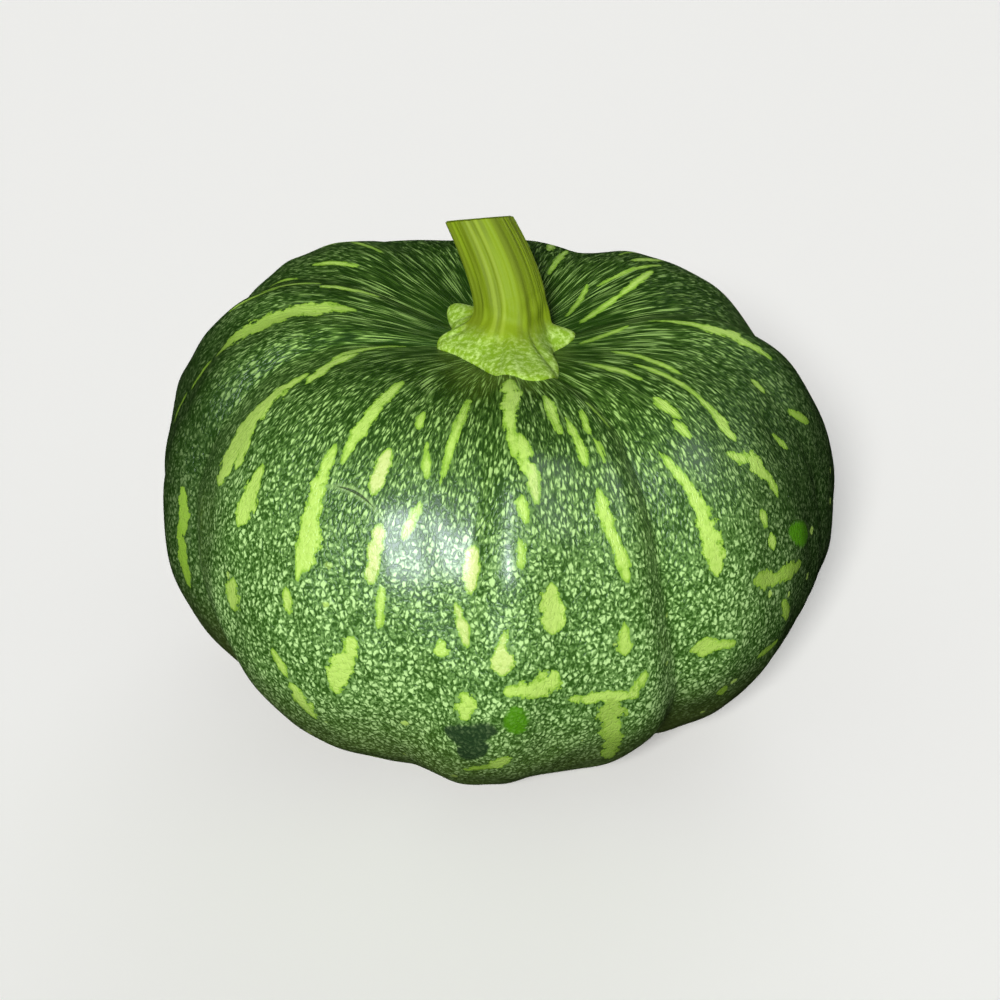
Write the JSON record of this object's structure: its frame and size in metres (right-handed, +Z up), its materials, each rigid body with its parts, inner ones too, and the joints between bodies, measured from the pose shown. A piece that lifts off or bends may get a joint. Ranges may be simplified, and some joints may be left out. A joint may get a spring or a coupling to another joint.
{
  "type": "kabocha squash",
  "caption": "Whole green squash, flattened and softly ribbed, with pale flecks and streaks and a cut, leaning stem on a lobed foot.",
  "frame": {"origin": "middle of the overall box in plan, at the height of the surface that the fruit rests on", "axes": "+Z up along the fruit's own axis towards the stem, -Y the side that the picture shows, +X to the right in the picture"},
  "size_m": [0.1802, 0.175, 0.1333],
  "materials": {
    "rind": "waxy green rind with fine pale flecks and larger pale streaks",
    "stem": "fresh yellow-green ribbed stem, satin"
  },
  "bodies": {
    "root": {"fruit": "rind", "stem": "stem"}
  },
  "joints": []
}
